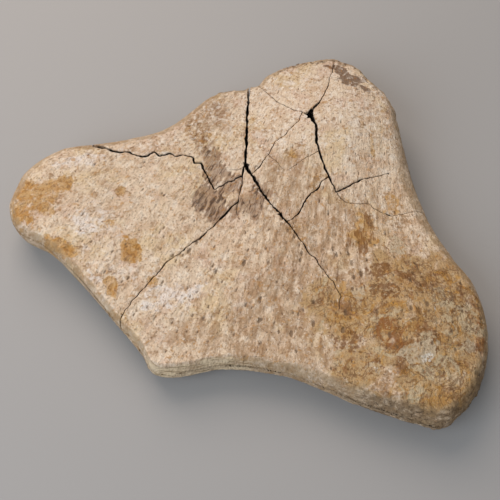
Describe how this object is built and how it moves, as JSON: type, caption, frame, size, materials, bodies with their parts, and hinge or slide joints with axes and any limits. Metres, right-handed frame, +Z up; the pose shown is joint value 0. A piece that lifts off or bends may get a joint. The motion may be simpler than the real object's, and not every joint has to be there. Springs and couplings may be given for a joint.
{
  "type": "fossil plesiosaur paddle bone",
  "caption": "Flat, gently dished fossil bone with a swollen head and two rounded lobes, cracked right through into fitted fragments, lying flat.",
  "frame": {"origin": "centre of the bounding box in plan, on the surface that the bone lies on", "axes": "+X along the longest extent, from the left lobe towards the right lobe; +Y towards the swollen head; +Z up, out of the upper face"},
  "size_m": [0.2969, 0.2571, 0.0439],
  "materials": {
    "fossil_bone": "matt, porous mineralised bone, cream with ochre and rust stains"
  },
  "bodies": {
    "root": {"left_lobe": "fossil_bone", "upper_left_flange": "fossil_bone", "head_left": "fossil_bone", "centre_wedge": "fossil_bone", "head_top": "fossil_bone", "head_right": "fossil_bone", "blade": "fossil_bone"}
  },
  "joints": []
}
